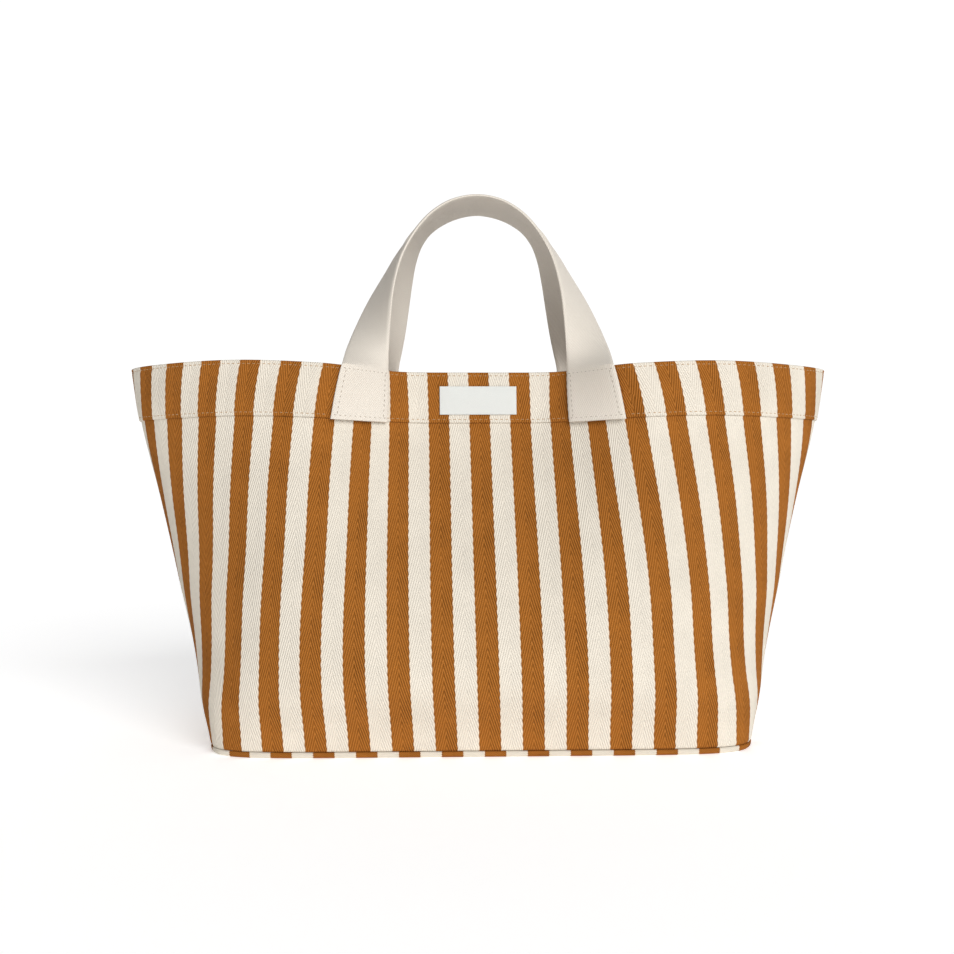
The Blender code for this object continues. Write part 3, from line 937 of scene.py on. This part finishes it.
def strap(name, side, rise, shares, material):
    """One strap: two feet and the loop between them, with rounded folded edges."""
    rows, runs = strap_rows(side, rise, shares)
    half = STRAP_THICKNESS / 2
    across = spaced(-STRAP_WIDTH / 2, STRAP_WIDTH / 2, STRAP_COLUMNS)
    rings = []
    spots = []
    for index, row in enumerate(rows):
        before, after = rows[max(index - 1, 0)], rows[min(index + 1, len(rows) - 1)]
        faces = []
        for column, point in enumerate(row):
            left, right = row[max(column - 1, 0)], row[min(column + 1, STRAP_COLUMNS)]
            faces.append((after[column] - before[column]).cross(right - left).normalized() * -side)
        outside = (row[-1] - row[-2]).normalized()
        inside = (row[0] - row[1]).normalized()
        end = min(runs[index], runs[-1] - runs[index])
        ring = []
        for place, point, face in zip(across, row, faces):
            edge = STRAP_WIDTH / 2 - abs(place)
            thick = half_thickness(edge)
            thick -= 0.5 * ROW_SINK * math.exp(-(((edge - FOOT_ROW) / 0.0009) ** 2))
            thick *= 0.75 + 0.25 * smoothstep(0.0, 0.0012, end)
            ring.append((point + face * thick, (place, runs[index])))
        bulge = 0.0009
        for out in (1, -1):
            point = row[-1] + outside * bulge * 0.8 + faces[-1] * half * 0.3 * out
            ring.append((point, (across[-1] + bulge, runs[index])))
        for place, point, face in reversed(list(zip(across, row, faces))):
            thick = half_thickness(STRAP_WIDTH / 2 - abs(place))
            ring.append((point - face * thick, (place, runs[index])))
        for out in (-1, 1):
            point = row[0] + inside * bulge * 0.8 + faces[0] * half * 0.3 * out
            ring.append((point, (across[0] - bulge, runs[index])))
        rings.append([point for point, _ in ring])
        spots.append([place for _, place in ring])
    return ringed(name, rings, spots, material)


def label_cloth(name, settings, material):
    """Small plain label, puffed in its middle and lower at its edges, where the real one is folded under and
    sewn down.
    """
    top = BODY_HEIGHT - LABEL_DROP
    heights = spaced(top - LABEL_HEIGHT, top, 22)
    lengths = spaced(-LABEL_WIDTH / 2, LABEL_WIDTH / 2, 44)
    outer = []
    inner = []
    spots = []
    for height in heights:
        up = abs(height - (top - LABEL_HEIGHT / 2)) / (LABEL_HEIGHT / 2)
        row = []
        for length in lengths:
            aside = abs(length) / (LABEL_WIDTH / 2)
            edge = max(up**6, aside**14)
            lift = LABEL_THICKNESS * (1 - 0.35 * edge) + settings.puff * (1 - up**2) * (1 - aside**4)
            row.append(cloth_point(length, height, STRAP_NEAR + lift, FRONT))
        outer.append(row)
        inner.append([cloth_point(length, height, STRAP_NEAR, FRONT) for length in lengths])
        spots.append([(length, height) for length in lengths])
    return shell(name, outer, inner, spots, material)


# Stitching


def stitched(name, paths, settings, length, material):
    """Rows of stitches along paths, which are lists of (point, outward direction) on the cloth's surface."""
    profile = ((-0.50, -1.2, 0.55), (-0.42, -0.2, 0.90), (-0.24, 0.42, 1.0), (0.0, 0.60, 1.0),
               (0.24, 0.42, 1.0), (0.42, -0.2, 0.90), (0.50, -1.2, 0.55))
    corners = 6
    points = []
    faces = []
    spots = []
    for path in paths:
        lengths = [0.0]
        for (before, _), (after, _) in zip(path, path[1:]):
            lengths.append(lengths[-1] + (after - before).length)
        total = lengths[-1]
        count = max(1, round(total / settings.pitch))
        pitch = total / count

        def at(distance):
            index = 1
            while index < len(lengths) - 1 and lengths[index] < distance:
                index += 1
            share = (distance - lengths[index - 1]) / (lengths[index] - lengths[index - 1])
            low, high = path[index - 1], path[index]
            return low[0].lerp(high[0], share), low[1].lerp(high[1], share).normalized()

        for stitch in range(count):
            middle = (stitch + 0.5) * pitch
            start, _ = at(middle - 0.5 * length)
            end, _ = at(middle + 0.5 * length)
            along = (end - start).normalized()
            first = len(points)
            for place, lift, width in profile:
                centre, out = at(middle + place * length)
                beside = along.cross(out).normalized()
                for corner in range(corners):
                    angle = 2 * math.pi * corner / corners
                    spoke = beside * math.cos(angle) + out * math.sin(angle)
                    points.append(centre + out * (lift * settings.radius) + spoke * (settings.radius * width))
                    spots.append((settings.radius * angle, middle + place * length))
            for ring in range(len(profile) - 1):
                for corner in range(corners):
                    following = (corner + 1) % corners
                    near, far = first + ring * corners, first + (ring + 1) * corners
                    faces.append((near + corner, near + following, far + following, far + corner))
            faces.append(tuple(first + corner for corner in range(corners)))
            last = first + (len(profile) - 1) * corners
            faces.append(tuple(last + corner for corner in range(corners)))
    return finished(name, points, faces, spots, material)


def surface_path(places, offset, side):
    """A path over the body from (length, height) places."""
    path = []
    for length, height in places:
        point = cloth_point(length, height, offset, side)
        out = cloth_point(length, height, offset + 0.001, side) - point
        path.append((point, out))
    return path


def band_row(drop, offset, side, start, end):
    """A row of stitches round half of the band."""
    height = BODY_HEIGHT - drop
    reach = side_length(height) - 0.002
    places = [(length, height) for length in spaced_by(max(start, -reach), min(end, reach), 0.002)]
    return surface_path(places, offset, side)


def foot_row(first, second, side, direction):
    """A row of stitches on a foot between two places, each (across, height)."""
    path = []
    for share in spaced(0.0, 1.0, 20):
        across, height = mixed(first[0], second[0], share), mixed(first[1], second[1], share)
        thickness = STRAP_THICKNESS - 0.5 * ROW_SINK
        point = foot_point(across, height, thickness, side, direction)
        out = foot_point(across, height, thickness + 0.001, side, direction) - point
        path.append((point, out))
    return path


# Operators


class BodyOperator(bpy.types.Operator):
    """Make the striped cloth of the front and the back"""

    bl_idname = "tote.body"
    bl_label = "Body cloth"

    def execute(self, context):
        settings = context.scene.tote_cloth
        material = herringbone(
            "striped_canvas", settings, settings.stripe, settings.shift, settings.lean, 1
        )
        for word, side in (("front", FRONT), ("back", BACK)):
            cloth = body_cloth(f"{word}_cloth", side, material)
            widths = (2 * side_length(PANEL_BOTTOM), 2 * side_length(BODY_HEIGHT))
            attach(cloth, "bag")
            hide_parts(f"{word}_panel")
        return {"FINISHED"}


class BaseOperator(bpy.types.Operator):
    """Make the striped cloth of the base"""

    bl_idname = "tote.base"
    bl_label = "Base cloth"

    def execute(self, context):
        settings = context.scene.tote_cloth
        material = herringbone(
            "striped_base", settings, settings.base_stripe, settings.base_shift, 0.0, 1
        )
        cloth = base_cloth("base_cloth", material)
        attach(cloth, "bag")
        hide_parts("base_panel")
        return {"FINISHED"}


class BandOperator(bpy.types.Operator):
    """Make the band folded over the mouth's edge"""

    bl_idname = "tote.band"
    bl_label = "Mouth band"

    def execute(self, context):
        settings = context.scene.tote_cloth
        material = herringbone(
            "striped_band", settings, settings.stripe, settings.shift, settings.lean, -1
        )
        for word, side in (("front", FRONT), ("back", BACK)):
            cloth = band_cloth(f"{word}_band_cloth", side, material)
            cut = (2 * side_length(BODY_HEIGHT), BAND_HEIGHT + BAND_RETURN)
            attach(cloth, "bag")
            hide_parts(f"{word}_band")
        return {"FINISHED"}


class SeamsOperator(bpy.types.Operator):
    """Make the bound seams inside the bag"""

    bl_idname = "tote.seams"
    bl_label = "Inner seams"

    def execute(self, context):
        settings = context.scene.tote_strap
        material = twill("seam_tape", settings.tape, settings.rib, settings.relief)
        made = {
            "left_side_seam": side_tape("left_seam_tape", LEFT, material),
            "right_side_seam": side_tape("right_seam_tape", RIGHT, material),
            "base_seam_binding": base_binding("base_seam_tape", material),
        }
        for node, tape in made.items():
            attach(tape, "bag")
            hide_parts(node)
        return {"FINISHED"}


class StrapsOperator(bpy.types.Operator):
    """Make the two handles, each one strap from foot to foot"""

    bl_idname = "tote.straps"
    bl_label = "Handles"

    def execute(self, context):
        settings = context.scene.tote_strap
        material = twill("strap_twill", settings.twill, settings.rib, settings.relief)
        for word, side, shares in (("front", FRONT, FRONT_LOOP), ("back", BACK, BACK_LOOP)):
            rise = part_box(f"{word}_handle")[1].z - BODY_HEIGHT
            made = strap(f"{word}_strap", side, rise, shares, material)
            edge = foot_point(STRAP_WIDTH / 2, BODY_HEIGHT, STRAP_THICKNESS, side, RIGHT)
            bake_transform(made)
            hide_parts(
                f"{word}_handle", f"{word}_handle_foot_left", f"{word}_handle_foot_right"
            )
        return {"FINISHED"}


class LabelOperator(bpy.types.Operator):
    """Make the plain woven label"""

    bl_idname = "tote.label"
    bl_label = "Label"

    def execute(self, context):
        settings = context.scene.tote_label
        material = satin("label_weave", settings.colour)
        made = label_cloth("label_cloth", settings, material)
        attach(made, "bag")
        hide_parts("woven_label")
        return {"FINISHED"}


class StitchingOperator(bpy.types.Operator):
    """Sew the band and the handles' feet"""

    bl_idname = "tote.stitching"
    bl_label = "Stitching"

    def execute(self, context):
        settings = context.scene.tote_stitch
        tan = thread("tan_thread", settings.thread)
        # The handles' thread is painted dark grey, partly as the shade at its needle holes.
        pale = thread("shaded_foot_thread", settings.shaded_foot_thread)
        made = []
        for word, side in (("front", FRONT), ("back", BACK)):
            surface = BAND_OUTSIDE - ROW_SINK
            outer_foot = foot_length(STRAP_WIDTH / 2, BODY_HEIGHT - RIM_ROW)
            inner_foot = foot_length(-STRAP_WIDTH / 2, BODY_HEIGHT - RIM_ROW)
            paths = []
            for drop in (RIM_ROW, BAND_ROW):
                flare = FOOT_FLARE * drop / BAND_HEIGHT
                near, far = inner_foot + flare, outer_foot + flare
                paths.append(band_row(drop, surface, side, -1.0, -far))
                paths.append(band_row(drop, surface, side, -near, near))
                paths.append(band_row(drop, surface, side, far, 1.0))
            made.append(stitched(f"{word}_band_stitches", paths, settings, settings.length, tan))
            paths = []
            edge = STRAP_WIDTH / 2 - FOOT_ROW
            bottom = BODY_HEIGHT - BAND_HEIGHT - FOOT_OVERHANG + FOOT_ROW
            top = BODY_HEIGHT - RIM_ROW
            rows = (
                ((-STRAP_WIDTH / 2, top), (STRAP_WIDTH / 2, top)),
                ((-STRAP_WIDTH / 2, bottom), (STRAP_WIDTH / 2, bottom)),
                ((-edge, bottom), (-edge, top)),
                ((edge, bottom), (edge, top)),
            )
            for direction in (LEFT, RIGHT):
                for first, second in rows:
                    paths.append(foot_row(first, second, side, direction))
            made.append(stitched(f"{word}_foot_stitches", paths, settings, settings.foot_length, pale))
        for stitches in made:
            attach(stitches, "bag")
        return {"FINISHED"}


def room_light(name, front, left, behind):
    """A plain white room: brightest behind the bag, darkest in front of it on the left."""
    world = bpy.data.worlds.new(name)
    world.use_nodes = True
    nodes = world.node_tree.nodes
    links = world.node_tree.links
    direction = nodes.new("ShaderNodeTexCoord")
    parts = nodes.new("ShaderNodeSeparateXYZ")
    links.new(direction.outputs["Generated"], parts.inputs["Vector"])
    ranges = []
    for axis, start, end, low, high in (("X", -0.6, 0.1, left, front), ("Y", 0.55, 0.88, front, behind)):
        ramp = nodes.new("ShaderNodeMapRange")
        ramp.interpolation_type = "SMOOTHSTEP"
        ramp.inputs["From Min"].default_value = start
        ramp.inputs["From Max"].default_value = end
        ramp.inputs["To Min"].default_value = low
        ramp.inputs["To Max"].default_value = high
        links.new(parts.outputs[axis], ramp.inputs["Value"])
        ranges.append(ramp)
    links.new(ranges[0].outputs["Result"], ranges[1].inputs["To Min"])
    links.new(ranges[1].outputs["Result"], nodes["Background"].inputs["Strength"])
    nodes["Background"].inputs["Color"].default_value = (1.0, 1.0, 1.0, 1.0)
    return world


class StageOperator(bpy.types.Operator):
    """Set up the floor, the lights and the camera"""

    bl_idname = "tote.stage"
    bl_label = "Stage"

    def execute(self, context):
        settings = context.scene.tote_stage
        camera_data = bpy.data.cameras.new("camera")
        camera_data.lens = settings.lens
        camera_data.sensor_width = 36.0
        camera = bpy.data.objects.new("camera", camera_data)
        context.scene.collection.objects.link(camera)
        camera.location = (settings.aside, -settings.distance, settings.height)
        camera.rotation_euler = (math.pi / 2, settings.roll, 0.0)
        context.scene.camera = camera

        recipe = Recipe("floor_white", 0.95)
        recipe.shader.inputs["Base Color"].default_value = (0.93, 0.93, 0.93, 1.0)
        recipe.shader.inputs["Emission Color"].default_value = (1.0, 1.0, 1.0, 1.0)
        recipe.shader.inputs["Emission Strength"].default_value = settings.floor_glow
        builder = bmesh.new()
        bmesh.ops.create_grid(builder, x_segments=8, y_segments=8, size=30.0)
        mesh = bpy.data.meshes.new("floor")
        builder.to_mesh(mesh)
        builder.free()
        mesh.materials.append(recipe.material)
        floor = bpy.data.objects.new("floor", mesh)
        context.scene.collection.objects.link(floor)

        key_data = bpy.data.lights.new("key_light", "SUN")
        key_data.energy = settings.key
        key_data.angle = math.radians(35)
        key = bpy.data.objects.new("key_light", key_data)
        context.scene.collection.objects.link(key)
        key.location = (0.9, -2.0, 0.9)
        key.rotation_euler = (-key.location).to_track_quat("-Z", "Y").to_euler()
        context.scene.world = room_light("room", settings.room, settings.left_room, settings.backdrop)
        context.scene.view_settings.view_transform = "Standard"
        return {"FINISHED"}


class TotePanel(bpy.types.Panel):
    """Buttons and settings of the tote bag's looks"""

    bl_idname = "TOTE_PT_looks"
    bl_label = "Tote bag"
    bl_space_type = "VIEW_3D"
    bl_region_type = "UI"
    bl_category = "Tote"

    def draw(self, context):
        for operator in OPERATORS:
            self.layout.operator(operator.bl_idname)
        for name, group in SETTINGS.items():
            box = self.layout.box()
            box.label(text=group.__doc__)
            for setting in group.__annotations__:
                box.prop(getattr(context.scene, name), setting)


OPERATORS = (
    BodyOperator,
    BaseOperator,
    BandOperator,
    SeamsOperator,
    StrapsOperator,
    LabelOperator,
    StitchingOperator,
    StageOperator,
)
SETTINGS = {
    "tote_cloth": ClothSettings,
    "tote_strap": StrapSettings,
    "tote_label": LabelSettings,
    "tote_stitch": StitchSettings,
    "tote_stage": StageSettings,
}


def register():
    for group in SETTINGS.values():
        bpy.utils.register_class(group)
    for name, group in SETTINGS.items():
        setattr(bpy.types.Scene, name, PointerProperty(type=group))
    for operator in OPERATORS:
        bpy.utils.register_class(operator)
    bpy.utils.register_class(TotePanel)


def unregister():
    bpy.utils.unregister_class(TotePanel)
    for operator in reversed(OPERATORS):
        bpy.utils.unregister_class(operator)
    for name in SETTINGS:
        delattr(bpy.types.Scene, name)
    for group in reversed(SETTINGS.values()):
        bpy.utils.unregister_class(group)


def main():
    register()
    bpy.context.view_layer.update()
    bpy.ops.tote.body()
    bpy.ops.tote.base()
    bpy.ops.tote.band()
    bpy.ops.tote.seams()
    bpy.ops.tote.straps()
    bpy.ops.tote.label()
    bpy.ops.tote.stitching()
    bpy.ops.tote.stage()


if __name__ == "__main__":
    main()
